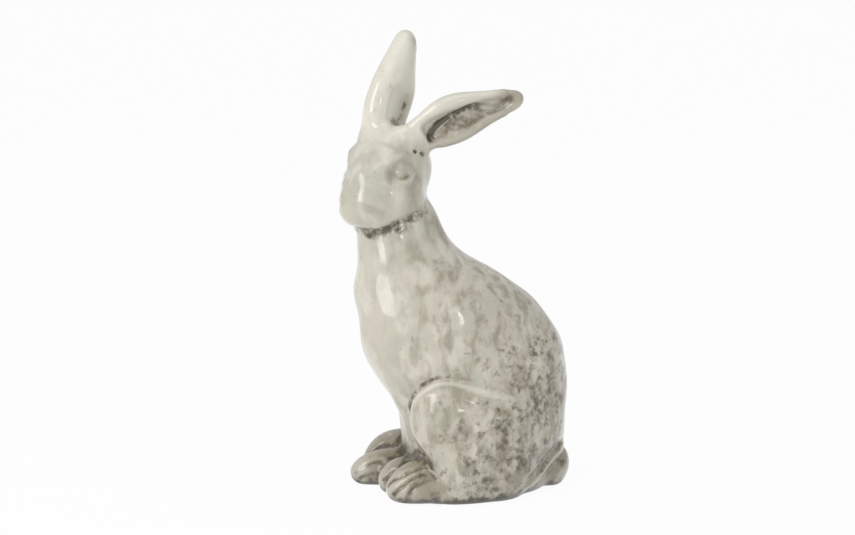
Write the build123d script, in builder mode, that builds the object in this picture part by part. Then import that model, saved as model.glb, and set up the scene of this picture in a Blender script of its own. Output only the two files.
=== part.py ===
from build123d import *
import os
from math import cos, hypot, radians, sin

# Ceramic rabbit figurine: it sits up on its haunches with its head turned to its left,
# one ear up and the other laid back. It is slip-cast in sections that are luted together.
# Millimetres, +Z up, the table at z = 0. The chest faces -Y and the rabbit's left side is +X.

# Clay
wall = 5.0  # thickness of a slip-cast wall
floor_thickness = 8.0  # thickness of the torso's floor
pour_diameter = 30.0  # opening in the floor that the slip was poured through

# Torso: a pear that leans forward into the neck
torso_height = 173.0  # table to the middle of the neck
torso_width = 88.0
torso_depth = 126.0
torso_lean = 58.5  # how far the neck stands forward of the rump
rump_y = 20.5

# Head
head_length = 70.0  # crown to nose
head_width = 53.0
head_depth = 52.0  # brow to throat
head_turn = 40.0  # degrees to the rabbit's left
head_pitch = 51.0  # degrees that the snout points below the horizon
head_forward = 6.0  # head's middle ahead of the neck's middle
head_rise = 22.5  # head's middle above the neck's middle
throat_diameter = 22.0  # opening in the head that vents into the neck
brow_diameter = 24.0  # rounded swelling over each eye
eye_diameter = 16.0

# Ears
upright_ear_length = 76.0
upright_ear_width = 36.0
upright_ear_thickness = 23.0
upright_ear_lip = 8.0  # rim left on each side of the scooped face
upright_ear_bow = 2.5  # how far its middle leans out from a straight line
upright_scoop_depth = 3.5
laid_ear_length = 82.0
laid_ear_width = 29.5
laid_ear_thickness = 13.0
laid_ear_lip = 4.0
laid_ear_bow = 4.5  # how far its middle rises above a straight line
laid_scoop_depth = 7.0
ear_seat = 9.0  # how far an ear starts inside the head's form
ear_spread = 0.26  # an ear's root from the crown's middle, as a share of the head's width
ear_setback = 0.16  # how far the roots lie behind the head's middle, as a share of its depth
ear_rise = 0.385  # how far the roots lie above the head's middle, as a share of its length

# Haunches
haunch_length = 80.0
haunch_height = 86.0
haunch_reach = 50.0  # outermost skin from the middle plane
knee_y = -31.5

# Hind feet
foot_length = 44.0
foot_inner_x = 13.5  # the foot's inner edge from the middle plane, beside the foreleg
left_foot_height = 26.0
right_foot_height = 29.0
foot_inset = 5.5  # the foot's outer edge lies this far inside the thigh's
left_foot_toe_y = -48.5
right_foot_toe_y = -56.0  # the right foot is a little ahead of the left

# Forelegs
foreleg_span = 20.0
foreleg_diameter = 20.0
shoulder_height = 84.0
wrist_y = -22.5
paw_width = 20.0
paw_height = 23.5
right_toe_y = -65.5  # the right paw is set a step ahead of the left
left_toe_y = -50.5

# Tail
tail_height = 25.0
tail_width = 38.0
tail_back_y = 72.4
tail_depth = 26.0

os.makedirs("parts", exist_ok=True)


def finish(name, part):
    """Label one casting and write its file."""
    part.label = name
    export_step(part, f"parts/{name}.step")


def cut_at_table():
    """Take off whatever would stand below the table."""
    split(bisect_by=Plane.XY, keep=Keep.TOP)


# Torso
# Rows: height, lean, width and depth, each a share of the torso's size of that name.
TORSO_ROWS = (
    (0.00, -0.03, 0.74, 0.57),
    (0.07, -0.04, 0.87, 0.64),
    (0.17, -0.03, 0.95, 0.73),
    (0.29, 0.04, 0.99, 0.83),
    (0.41, 0.17, 1.00, 0.95),
    (0.50, 0.25, 0.99, 1.00),
    (0.59, 0.34, 0.94, 0.98),
    (0.68, 0.455, 0.88, 0.915),
    (0.76, 0.61, 0.79, 0.775),
    (0.83, 0.77, 0.69, 0.595),
    (0.90, 0.89, 0.59, 0.485),
    (0.98, 0.95, 0.53, 0.41),
    (1.07, 1.03, 0.48, 0.34),
)
neck_centre = Vector(0, rump_y - torso_lean, torso_height)


def ellipse_face(plane, half_width, half_depth):
    """One elliptical section for a loft."""
    with BuildSketch(plane) as section:
        Ellipse(half_width, half_depth)
    return section.sketch.face()


def torso_level(height, lean, width, depth):
    """Height, front, back and half width of one torso section, in mm."""
    middle = rump_y - lean * torso_lean
    half_depth = depth * torso_depth / 2
    return height * torso_height, middle - half_depth, middle + half_depth, width * torso_width / 2


def cavity_level(below, level, above):
    """A torso section drawn in so that the wall keeps its thickness where the skin slopes."""
    rise = above[0] - below[0]
    slopes = [(high - low) / rise for low, high in zip(below[1:], above[1:])]
    front_inset, back_inset, side_inset = [wall * hypot(1, slope) for slope in slopes]
    z, front, back, half_width = level
    return max(z, floor_thickness), front + front_inset, back - back_inset, half_width - side_inset


def torso_section(z, front, back, half_width):
    """The level ellipse that a section's sizes describe."""
    return ellipse_face(Plane((0, (front + back) / 2, z)), half_width, (back - front) / 2)


skin_levels = [torso_level(*row) for row in TORSO_ROWS]
cavity_levels = [
    cavity_level(below, level, above)
    for below, level, above in zip(skin_levels, skin_levels[1:], skin_levels[2:] + skin_levels[-1:])
]

with BuildPart() as torso_form:
    loft([torso_section(*level) for level in skin_levels])


# Head
# Rows: place along the snout from -1 at the crown to 1 at the nose, then width and depth shares.
HEAD_ROWS = (
    (-0.97, 0.28, 0.31),
    (-0.86, 0.54, 0.60),
    (-0.63, 0.75, 0.85),
    (-0.29, 0.92, 0.98),
    (0.06, 1.00, 1.00),
    (0.34, 0.96, 0.93),
    (0.60, 0.83, 0.82),
    (0.80, 0.68, 0.70),
    (0.92, 0.49, 0.51),
    (0.97, 0.28, 0.30),
)
turn, pitch = radians(head_turn), radians(head_pitch)
head_left = Vector(cos(turn), sin(turn), 0)
head_facing = Vector(sin(turn), -cos(turn), 0)
up = Vector(0, 0, 1)
snout = head_facing * cos(pitch) - up * sin(pitch)
brow = head_facing * sin(pitch) + up * cos(pitch)
head_centre = neck_centre + Vector(0, -head_forward, head_rise)


def head_sections(rows, inset):
    """Ellipses square to the snout, drawn in from the head's skin by inset."""
    faces = []
    for along, width, depth in rows:
        place = head_centre + snout * (along * (head_length / 2 - inset))
        square = Plane(origin=place, x_dir=head_left, z_dir=snout)
        faces.append(ellipse_face(square, width * head_width / 2 - inset, depth * head_depth / 2 - inset))
    return faces


# Middles of the left brow and eye: shares of the head's width out, its depth forward and its length up.
BROW_PLACE = (0.20, 0.175, 0.17)
EYE_PLACE = (0.287, 0.142, 0.106)


def on_head(place, side):
    """A point of the head on its left side, 1, or its right side, -1."""
    out, ahead, rise = place
    across = head_left * (side * out * head_width)
    return head_centre + across + head_facing * (ahead * head_depth) + up * (rise * head_length)


with BuildPart() as head_form:
    loft(head_sections(HEAD_ROWS, 0))
    with Locations(on_head(BROW_PLACE, 1), on_head(BROW_PLACE, -1)):
        Sphere(brow_diameter / 2)
    with Locations(on_head(EYE_PLACE, 1), on_head(EYE_PLACE, -1)):
        Sphere(eye_diameter / 2)

with BuildPart() as head:
    add(head_form.part)
    loft(head_sections(HEAD_ROWS[1:-2], wall), mode=Mode.SUBTRACT)
    with BuildSketch(Plane(neck_centre)):
        Circle(throat_diameter / 2)
    extrude(amount=head_rise, both=True, mode=Mode.SUBTRACT)
finish("head_casting", head.part)

with BuildPart() as torso:
    add(torso_form.part)
    loft([torso_section(*level) for level in cavity_levels], mode=Mode.SUBTRACT)
    add(head_form.part, mode=Mode.SUBTRACT)
    with Locations((0, rump_y, 0)):
        Cylinder(pour_diameter / 2, 3 * floor_thickness, mode=Mode.SUBTRACT)
finish("torso_casting", torso.part)


# Ears
# Rows: place along the ear from its seat in the head to its tip, then width and thickness shares.
UPRIGHT_ROWS = (
    (0.00, 0.60, 0.90),
    (0.12, 0.68, 0.95),
    (0.22, 0.80, 1.00),
    (0.33, 0.95, 1.00),
    (0.43, 1.00, 0.98),
    (0.54, 0.94, 0.92),
    (0.64, 0.74, 0.84),
    (0.74, 0.56, 0.76),
    (0.84, 0.45, 0.66),
    (0.93, 0.35, 0.54),
    (0.98, 0.23, 0.34),
    (1.00, 0.10, 0.14),
)
UPRIGHT_SCOOP_ROWS = UPRIGHT_ROWS[2:6]
LAID_ROWS = (
    (0.00, 0.60, 0.90),
    (0.12, 0.68, 0.95),
    (0.22, 0.80, 1.00),
    (0.33, 0.94, 1.00),
    (0.43, 1.00, 0.98),
    (0.54, 0.97, 0.92),
    (0.64, 0.86, 0.84),
    (0.74, 0.73, 0.76),
    (0.84, 0.60, 0.66),
    (0.93, 0.46, 0.54),
    (0.98, 0.28, 0.34),
    (1.00, 0.10, 0.14),
)
LAID_SCOOP_ROWS = LAID_ROWS[2:-2]


def build_ear(side, rows, scoop_rows, scoop_depth, length, width, thickness, lip, heading, bow, facing):
    """Loft an ear from the crown along heading, bowed aside, and scoop out the face that looks to facing."""
    heading = heading.normalized()
    seat = on_head((ear_spread, -ear_setback, ear_rise), side) - heading * ear_seat
    tip = seat + heading * length
    with BuildLine(mode=Mode.PRIVATE) as spine:
        Bezier(seat, (seat + tip) / 2 + bow, tip)

    def plane_at(along, shift):
        axis = spine.line % along
        out = (facing - axis * facing.dot(axis)).normalized()
        return Plane(origin=spine.line @ along + out * shift, x_dir=axis.cross(out), z_dir=axis)

    loft(
        [
            ellipse_face(plane_at(along, 0), wide * width / 2, thick * thickness / 2)
            for along, wide, thick in rows
        ]
    )
    loft(
        [
            ellipse_face(
                plane_at(along, thick * thickness / 2),
                wide * (width / 2 - lip),
                thick * scoop_depth,
            )
            for along, wide, thick in scoop_rows
        ],
        mode=Mode.SUBTRACT,
    )
    add(head_form.part, mode=Mode.SUBTRACT)


with BuildPart() as ear_right:
    build_ear(
        side=-1,
        rows=UPRIGHT_ROWS,
        scoop_rows=UPRIGHT_SCOOP_ROWS,
        scoop_depth=upright_scoop_depth,
        length=upright_ear_length,
        width=upright_ear_width,
        thickness=upright_ear_thickness,
        lip=upright_ear_lip,
        heading=head_left * 0.17 - head_facing * 0.24 + up,
        bow=head_left * upright_ear_bow,
        facing=head_left,
    )
finish("ear_right_upright", ear_right.part)

with BuildPart() as ear_left:
    build_ear(
        side=1,
        rows=LAID_ROWS,
        scoop_rows=LAID_SCOOP_ROWS,
        scoop_depth=laid_scoop_depth,
        length=laid_ear_length,
        width=laid_ear_width,
        thickness=laid_ear_thickness,
        lip=laid_ear_lip,
        heading=head_left * 0.69 - head_facing * 0.58 + up * 0.345,
        bow=up * laid_ear_bow,
        facing=head_left + head_facing - up * 0.35,
    )
finish("ear_left_laid_back", ear_left.part)


# Haunches
# The thigh's outline in side view, as shares of its length and height, from the knee clockwise.
HAUNCH_OUTLINE = (
    (0.00, 0.70),
    (0.15, 0.97),
    (0.50, 0.99),
    (0.80, 0.86),
    (0.97, 0.58),
    (0.92, 0.24),
    (0.70, -0.08),
    (0.22, -0.15),
    (0.08, 0.32),
)
HAUNCH_APEX = (0.36, 0.50)
# Rows: place from the middle plane as a share of the reach, then how far the outline has closed in.
HAUNCH_ROWS = (
    (0.25, 0.96),
    (0.50, 1.00),
    (0.70, 0.95),
    (0.84, 0.82),
    (0.93, 0.62),
    (0.985, 0.36),
    (1.00, 0.18),
)



def haunch_point(row, corner):
    """One point on the left thigh's skin."""
    (reach, closed), (y, z) = HAUNCH_ROWS[row], HAUNCH_OUTLINE[corner]
    back = HAUNCH_APEX[0] + closed * (y - HAUNCH_APEX[0])
    rise = HAUNCH_APEX[1] + closed * (z - HAUNCH_APEX[1])
    return Vector(reach * haunch_reach, knee_y + back * haunch_length, rise * haunch_height)


def haunch_section(row):
    """The thigh's outline in one row."""
    corners = [haunch_point(row, corner) for corner in range(len(HAUNCH_OUTLINE))]
    with BuildSketch(Plane((corners[0].X, 0, 0), x_dir=(0, 1, 0), z_dir=(1, 0, 0))) as section:
        with BuildLine():
            Spline(*[(corner.Y, corner.Z) for corner in corners], periodic=True)
        make_face()
    return section.sketch.face()


with BuildPart() as haunch_left:
    loft([haunch_section(row) for row in range(len(HAUNCH_ROWS))])
    add(torso_form.part, mode=Mode.SUBTRACT)
    cut_at_table()
finish("haunch_left", haunch_left.part)

with BuildPart() as haunch_right:
    add(mirror(haunch_left.part, about=Plane.YZ))
finish("haunch_right", haunch_right.part)


# Forelegs
# Rows of a paw or foot: place from the toes, then its width, underside and top as shares of its size.
PAW_ROWS = (
    (0.00, 0.20, 0.20, 0.40),
    (0.04, 0.42, 0.09, 0.54),
    (0.14, 0.68, -0.02, 0.74),
    (0.32, 0.90, -0.10, 0.92),
    (0.60, 1.00, -0.12, 1.00),
    (0.85, 0.95, -0.12, 1.00),
    (1.00, 0.80, -0.12, 0.97),
)


def paw_sections(x, toe_y, length, width, height):
    """Upright ellipses along a foot or paw, whose undersides reach below the table."""
    faces = []
    for along, wide, low, high in PAW_ROWS:
        middle = (x, toe_y + along * length, (low + high) / 2 * height)
        upright = Plane(middle, x_dir=(1, 0, 0), z_dir=(0, -1, 0))
        faces.append(ellipse_face(upright, wide * width / 2, (high - low) / 2 * height))
    return faces


# Rows: height as a share of the shoulder's, then place forward and thickness as shares of the leg's.
FORELEG_ROWS = (
    (0.00, 0.00, 1.00),
    (0.28, 0.04, 1.00),
    (0.56, 0.14, 1.00),
    (0.77, 0.40, 1.05),
    (1.00, 0.80, 1.10),
)


def foreleg_sections(x):
    """Level rings from the wrist up to the shoulder."""
    faces = []
    for height, forward, thick in FORELEG_ROWS:
        middle = (x, wrist_y - forward * foreleg_diameter, height * shoulder_height)
        faces.append(ellipse_face(Plane(middle), thick * foreleg_diameter / 2, thick * foreleg_diameter / 2))
    return faces


def build_foreleg(x, toe_y, haunch, inner_side):
    """Leg and paw on one side, cut where they meet the torso, the thigh and the other foreleg."""
    loft(foreleg_sections(x))
    loft(paw_sections(x, toe_y, wrist_y - toe_y, paw_width, paw_height))
    split(bisect_by=Plane.YZ, keep=inner_side)
    add([torso_form.part, haunch], mode=Mode.SUBTRACT)
    cut_at_table()


with BuildPart() as foreleg_left:
    build_foreleg(foreleg_span / 2, left_toe_y, haunch_left.part, Keep.TOP)
finish("foreleg_left", foreleg_left.part)

with BuildPart() as foreleg_right:
    build_foreleg(-foreleg_span / 2, right_toe_y, haunch_right.part, Keep.BOTTOM)
finish("foreleg_right", foreleg_right.part)


# Hind feet
def build_hind_foot(x, toe_y, height, haunch, foreleg):
    """One hind foot, cut where it meets the torso, the thigh and the foreleg."""
    loft(paw_sections(x, toe_y, foot_length, foot_width, height))
    add([torso_form.part, haunch, foreleg], mode=Mode.SUBTRACT)
    cut_at_table()


foot_width = haunch_reach - foot_inset - foot_inner_x
foot_x = foot_inner_x + foot_width / 2

with BuildPart() as hind_foot_left:
    build_hind_foot(foot_x, left_foot_toe_y, left_foot_height, haunch_left.part, foreleg_left.part)
finish("hind_foot_left", hind_foot_left.part)

with BuildPart() as hind_foot_right:
    build_hind_foot(-foot_x, right_foot_toe_y, right_foot_height, haunch_right.part, foreleg_right.part)
finish("hind_foot_right", hind_foot_right.part)


# Tail
# Rows: height, width and depth, each a share of the tail's size of that name.
TAIL_ROWS = (
    (0.00, 0.78, 0.72),
    (0.30, 1.00, 0.96),
    (0.55, 0.92, 1.00),
    (0.80, 0.66, 0.86),
    (1.00, 0.22, 0.50),
)

with BuildPart() as tail:
    loft(
        [
            ellipse_face(
                Plane((0, tail_back_y - tail_depth / 2, height * tail_height)),
                width * tail_width / 2,
                depth * tail_depth / 2,
            )
            for height, width, depth in TAIL_ROWS
        ]
    )
    add([torso_form.part, haunch_left.part, haunch_right.part], mode=Mode.SUBTRACT)
finish("tail", tail.part)
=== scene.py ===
# %% [markdown]
# # A glazed ceramic rabbit
#
# The real figure is cast from liquid clay, called slip, in eleven sections.
# While the clay is soft the sections are stuck together, the seams are wiped
# with a wet sponge, and fingers and tools press in the last details. A pale
# glaze with darker flecks then runs off the high places and gathers in the
# creases. This lesson follows the same order: castings, wiped seams, tool
# marks, glaze, light.
#
# The first cell loads the castings as they come from the mould, and keeps
# their overall box, which sets the size of the grid.

# %% Load the castings
import math

import bpy
import numpy as np
import openvdb
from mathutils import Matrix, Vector


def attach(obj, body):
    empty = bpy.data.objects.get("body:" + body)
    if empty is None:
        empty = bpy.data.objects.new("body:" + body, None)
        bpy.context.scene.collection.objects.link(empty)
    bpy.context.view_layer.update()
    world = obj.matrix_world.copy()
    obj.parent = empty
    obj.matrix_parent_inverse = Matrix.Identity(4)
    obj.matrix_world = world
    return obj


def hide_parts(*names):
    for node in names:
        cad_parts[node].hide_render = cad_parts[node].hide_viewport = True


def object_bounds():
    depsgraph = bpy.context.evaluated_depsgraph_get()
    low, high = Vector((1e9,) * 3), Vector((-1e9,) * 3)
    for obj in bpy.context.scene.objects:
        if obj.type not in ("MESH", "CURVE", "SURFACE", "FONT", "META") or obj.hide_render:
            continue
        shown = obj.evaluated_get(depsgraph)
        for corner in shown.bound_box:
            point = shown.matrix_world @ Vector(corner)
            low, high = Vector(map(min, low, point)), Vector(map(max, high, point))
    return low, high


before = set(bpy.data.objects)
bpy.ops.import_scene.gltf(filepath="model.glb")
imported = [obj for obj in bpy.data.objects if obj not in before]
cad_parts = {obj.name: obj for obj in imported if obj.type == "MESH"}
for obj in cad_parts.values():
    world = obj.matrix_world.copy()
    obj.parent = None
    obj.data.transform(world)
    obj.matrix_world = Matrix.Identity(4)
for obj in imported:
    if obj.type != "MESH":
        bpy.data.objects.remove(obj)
cast_low, cast_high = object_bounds()
MM = 1000.0  # millimetres in a metre
print("castings:", len(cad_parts), "box in mm:", [round(v * MM, 1) for v in (*cast_low, *cast_high)])

# %% [markdown]
# ## The camera
#
# A camera comes first, so that every later cell can be judged from the same
# place. The figure is seen from its left and a little from above, through a
# long lens, which keeps the sides of the body nearly parallel. The two angles
# turn a camera that starts out looking straight down.

# %% Place the camera
LENS = 85.0  # mm
SENSOR_WIDTH = 36.0  # mm
CAMERA_PLACE = (1.2135, -0.2140, 0.3885)  # metres
CAMERA_DIP = 11.38  # degrees below the horizon
CAMERA_TURN = 80.82  # degrees from looking along +Y

lens = bpy.data.cameras.new("camera")
lens.lens = LENS
lens.sensor_width = SENSOR_WIDTH
camera = bpy.data.objects.new("camera", lens)
camera.location = CAMERA_PLACE
camera.rotation_euler = (math.radians(90 - CAMERA_DIP), 0, math.radians(CAMERA_TURN))
bpy.context.collection.objects.link(camera)
bpy.context.scene.camera = camera
print("camera at", CAMERA_PLACE)

# %% [markdown]
# ## Clay as a distance field
#
# Soft clay could be sculpted by moving vertices, but two castings that are
# pressed together have no shared vertices to smooth. A distance field has no
# such trouble. It is a block of numbers, one for each point of a fine grid,
# that says how far that point is from the skin: negative inside the clay,
# positive outside. Joining, pressing and smoothing are then plain arithmetic.
# OpenVDB, which comes with Blender, works out the field of a closed mesh.

# %% Turn each casting into a field
CELL = 1.1  # mm between the grid's points
REACH = 12.0  # mm from a skin up to which distances are kept
MARGIN = 9.0  # mm of empty grid round the figure

first_cell = np.floor((np.array(cast_low) * MM - MARGIN) / CELL).astype(int)
last_cell = np.ceil((np.array(cast_high) * MM + MARGIN) / CELL).astype(int)
grid_shape = tuple(last_cell - first_cell + 1)


def casting_field(node):
    """Distances in mm from one casting's skin, over the whole grid."""
    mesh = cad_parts[node].data
    mesh.calc_loop_triangles()
    corners = np.empty(len(mesh.vertices) * 3, np.float32)
    mesh.vertices.foreach_get("co", corners)
    triangles = np.empty(len(mesh.loop_triangles) * 3, np.int32)
    mesh.loop_triangles.foreach_get("vertices", triangles)
    grid = openvdb.FloatGrid.createLevelSetFromPolygons(
        corners.reshape(-1, 3) * MM,
        triangles=triangles.reshape(-1, 3).astype(np.uint32),
        transform=openvdb.createLinearTransform(CELL),
        halfWidth=REACH / CELL,
    )
    field = np.empty(grid_shape, np.float32)
    grid.copyToArray(field, ijk=tuple(int(i) for i in first_cell))
    return field


NODES = sorted(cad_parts)
castings = {node: casting_field(node) for node in NODES}
print("grid of", grid_shape, "points,", CELL, "mm apart")

# %% [markdown]
# ## Wiping the seams
#
# Where two castings meet, the potter runs slip into the join and wipes it, so
# the corner becomes a small hollow curve. The usual join of two fields is the
# smaller of both at each point. A soft minimum does the same and adds a fillet
# whose width can be chosen: wide where an ear grows out of the head, narrow
# where a foot only touches the thigh. The thigh's seam is narrow at the knee
# and widens backwards, until the thigh melts into the rump.

# %% Join the castings
grid_axes = [(first_cell[i] + np.arange(grid_shape[i])) * CELL for i in range(3)]
AXIS_X = grid_axes[0][:, None, None].astype(np.float32)
AXIS_Y = grid_axes[1][None, :, None].astype(np.float32)
AXIS_Z = grid_axes[2][None, None, :].astype(np.float32)


def ease(start, end, value):
    """0 before start, 1 after end, and a soft step between."""
    share = np.clip((value - start) / (end - start), 0, 1)
    return share * share * (3 - 2 * share)


def wiped(one, other, width):
    """Join two fields, with a fillet about as wide as width in mm."""
    share = np.clip(0.5 + 0.5 * (other - one) / width, 0, 1)
    return other + (one - other) * share - width * share * (1 - share)


KNEE_SEAM, RUMP_SEAM = 2.5, 10.5  # mm
thigh_seam = KNEE_SEAM + (RUMP_SEAM - KNEE_SEAM) * ease(-12.0, 30.0, AXIS_Y)
SEAMS = (  # each casting with the width of its seam in mm
    ("haunch_left", thigh_seam),
    ("haunch_right", thigh_seam),
    ("tail", 3.0),
    ("foreleg_left", 9.0),
    ("foreleg_right", 9.0),
    ("hind_foot_left", 4.0),
    ("hind_foot_right", 4.0),
    ("head_casting", 5.0),
    ("ear_right_upright", 9.0),
    ("ear_left_laid_back", 9.0),
)
clay = castings["torso_casting"]
nearest = castings["torso_casting"]
owner = np.full(grid_shape, NODES.index("torso_casting"), np.uint8)
for node, seam in SEAMS:
    clay = wiped(clay, castings[node], seam)
    closer = castings[node] < nearest
    owner[closer] = NODES.index(node)
    nearest = np.where(closer, castings[node], nearest)
print("joined", len(SEAMS) + 1, "castings")

# %% [markdown]
# ## The wet sponge
#
# A sponge takes off every sharp edge. On a field that is a blur: each value
# becomes the average of its neighbours, weighted by a bell curve. Flat places,
# such as the foot that stands on the table, stay exactly where they are.

# %% Sponge the clay
def sponged(field, size):
    """Average a field over a soft ball of this size in mm."""
    reach = int(math.ceil(3 * size / CELL))
    weights = np.exp(-0.5 * (np.arange(-reach, reach + 1) * CELL / size) ** 2)
    weights = (weights / weights.sum()).astype(np.float32)
    for axis in range(3):
        lines = np.moveaxis(field, axis, 0)
        padded = np.concatenate([lines[:1]] * reach + [lines] + [lines[-1:]] * reach)
        total = weights[0] * padded[: len(lines)]
        for step in range(1, len(weights)):
            total += weights[step] * padded[step : step + len(lines)]
        field = np.moveaxis(total, 0, axis)
    return np.ascontiguousarray(field)


SPONGE = 1.5  # mm
clay = sponged(clay, SPONGE)
print("sponged by", SPONGE, "mm")

# %% [markdown]
# ## Filling the hollow
#
# The torso and the head are hollow, like most large ceramic figures, so that
# they don't crack in the kiln. The tools should only feel the outer skin, so
# the hollow is filled for now and opened again at the end. Air counts as inside
# when there is clay on all four sides of it and above it. The filled field no
# longer holds true distances, so it takes a short way round: OpenVDB draws its
# skin as a mesh, and measures the distances from that mesh anew.

# %% Fill the hollow
clay_there = clay < 0
walled_in = ~clay_there
for axis, ways in ((0, (1, -1)), (1, (1, -1)), (2, (-1,))):
    for way in ways:
        line = np.flip(clay_there, axis) if way < 0 else clay_there
        shadow = np.logical_or.accumulate(line, axis=axis)
        walled_in &= np.flip(shadow, axis) if way < 0 else shadow
as_cast = clay
grid_start = tuple(int(i) for i in first_cell)
lump = openvdb.FloatGrid(REACH)
lump.copyFromArray(np.where(walled_in, -CELL, as_cast), ijk=grid_start)
lump.transform = openvdb.createLinearTransform(CELL)
points, quads = lump.convertToQuads()
lump = openvdb.FloatGrid.createLevelSetFromPolygons(
    points, quads=quads, transform=openvdb.createLinearTransform(CELL), halfWidth=REACH / CELL
)
clay = np.empty(grid_shape, np.float32)
lump.copyToArray(clay, ijk=grid_start)
WALL = 5.0  # mm of clay round the hollow
near_hollow = clay < -0.5 * WALL
print("hollow:", round(float(walled_in.sum()) * CELL**3 / 1000), "ml")

# %% [markdown]
# ## Feeling for the skin
#
# The tools need to know where the skin is. A field can be read at any point,
# and its slope there shows the way straight off the skin. A point that only
# lies near the skin is slid along that slope until it is on it, and can then
# be lifted or sunk by the right amount.

# %% Read the field
def read_at(field, points):
    """A field's value at any points in mm, from the eight grid points round each."""
    place = points / CELL - first_cell
    corner = np.clip(np.floor(place).astype(int), 0, np.array(field.shape) - 2)
    share = place - corner
    value = np.zeros(len(points))
    for step in np.ndindex(2, 2, 2):
        weight = np.where(step, share, 1 - share).prod(axis=1)
        value += weight * field[tuple((corner + step).T)]
    return value


def slope_at(field, points):
    """Which way a field rises at any points, and how steeply."""
    step = 0.8 * CELL
    slope = np.empty((len(points), 3))
    for axis in range(3):
        shift = np.eye(3)[axis] * step
        slope[:, axis] = (read_at(field, points + shift) - read_at(field, points - shift)) / (2 * step)
    return slope


def onto_skin(points, steps=8, stride=3.0):
    """Slide points in mm along the slope until they lie on the skin."""
    points = np.array(points, float)
    for _ in range(steps):
        slope = slope_at(clay, points)
        gap = -read_at(clay, points) / np.maximum((slope**2).sum(axis=1), 0.3)
        points += slope * np.clip(gap, -stride, stride)[:, None]
    return points


def over_skin(points, heights):
    """Slide points onto the skin, then lift each one straight off it by its height."""
    points = onto_skin(points)
    slope = slope_at(clay, points)
    normal = slope / np.maximum(np.linalg.norm(slope, axis=1, keepdims=True), 1e-6)
    return points + normal * heights[:, None]


crown = onto_skin([(0.0, -40.0, 230.0)])[0]
print("a point slid onto the crown:", crown.round(1).tolist())

# %% [markdown]
# ## Paths and strokes
#
# A stroke of a tool follows a smooth path through a few points. Its shape is a
# chain of round sticks, whose distance field is simple to work out, and only
# the small block of the grid round the path has to be touched.

# %% Follow a path
def smooth_path(points, parts=5):
    """A curve through the points, with this many parts between each two."""
    points = np.array(points, float)
    ends = np.concatenate([2 * points[:1] - points[1:2], points, 2 * points[-1:] - points[-2:-1]])
    share = (np.arange(parts) / parts)[:, None]
    curve = []
    for a, b, c, d in zip(ends, ends[1:], ends[2:], ends[3:]):
        bend = (2 * a - 5 * b + 4 * c - d) * share**2 + (3 * b - a - 3 * c + d) * share**3
        curve.append(b + 0.5 * ((c - a) * share + bend))
    return np.concatenate(curve + [points[-1:]])


def stroke(path, radii, soft):
    """The part of the grid that a stroke can touch, and the distances from the stroke there."""
    room = radii.max() + soft + 2 * CELL
    low = np.clip(np.floor((path.min(axis=0) - room) / CELL).astype(int) - first_cell, 0, None)
    high = np.ceil((path.max(axis=0) + room) / CELL).astype(int) - first_cell + 1
    block = tuple(slice(a, b) for a, b in zip(low, high))
    x, y, z = AXIS_X[block[0]], AXIS_Y[:, block[1]], AXIS_Z[:, :, block[2]]
    nearest_part = None
    for a, b, ra, rb in zip(path, path[1:], radii, radii[1:]):
        run = b - a
        share = (x - a[0]) * run[0] + (y - a[1]) * run[1] + (z - a[2]) * run[2]
        share = np.clip(share / max(run @ run, 1e-9), 0, 1)
        gap = (x - a[0] - share * run[0]) ** 2 + (y - a[1] - share * run[1]) ** 2
        gap = np.sqrt(gap + (z - a[2] - share * run[2]) ** 2) - (ra + share * (rb - ra))
        nearest_part = gap if nearest_part is None else np.minimum(nearest_part, gap)
    return block, nearest_part.astype(np.float32)


def along(values, path):
    """Spread one value, or one per given point, evenly along a path."""
    values = np.atleast_1d(np.array(values, float))
    return np.interp(np.linspace(0, 1, len(path)), np.linspace(0, 1, len(values)), values)


def before_blending(size, soft):
    """How far a stroke has to stand off the skin to end up at this size once it is blended in."""
    return np.where(size < soft, 2 * np.sqrt(soft * size) - soft, size)


print("a path through three points has", len(smooth_path(np.eye(3))), "points")

# %% [markdown]
# ## Hands and tools
#
# Three tools do all the shaping. A roll of clay can be laid on and blended in,
# a rounded stick can be drawn along to press a groove, and a wet finger can rub
# a place even.

# %% Make the tools
def lay_roll(points, radius, height, soft):
    """Lay a roll of clay along points so that it stands this high over the skin, and blend it in."""
    path = smooth_path(points)
    radii = along(radius, path)
    path = over_skin(path, before_blending(along(height, path), soft) - radii)
    block, gap = stroke(path, radii, soft)
    clay[block] = wiped(clay[block], gap, soft)


def press_groove(points, radius, depth, soft):
    """Draw a rounded stick along points so that it sinks this deep into the skin."""
    path = smooth_path(points)
    radii = along(radius, path)
    path = over_skin(path, radii - before_blending(along(depth, path), soft))
    block, gap = stroke(path, radii, soft)
    clay[block] = -wiped(-clay[block], gap, soft)


def rub(points, radius, size):
    """Rub a wet finger over points, which evens out the skin within this radius of them."""
    path = smooth_path(points)
    block, gap = stroke(path, np.full(len(path), 0.3 * radius), radius + 3 * size)
    amount = ease(0.7 * radius, 0.0, gap)
    clay[block] += amount * (sponged(clay[block], size) - clay[block])


print("tools: lay_roll, press_groove, rub")

# %% [markdown]
# ## The thighs
#
# A rounded ridge runs up the front of each thigh, over the knee and back along
# its top, where it fades out. A shallow groove above it and a broader one below
# set it off, which is why it shows so clearly under the glaze. The points are
# for the left thigh. The right one uses the same points on the other side.

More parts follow.
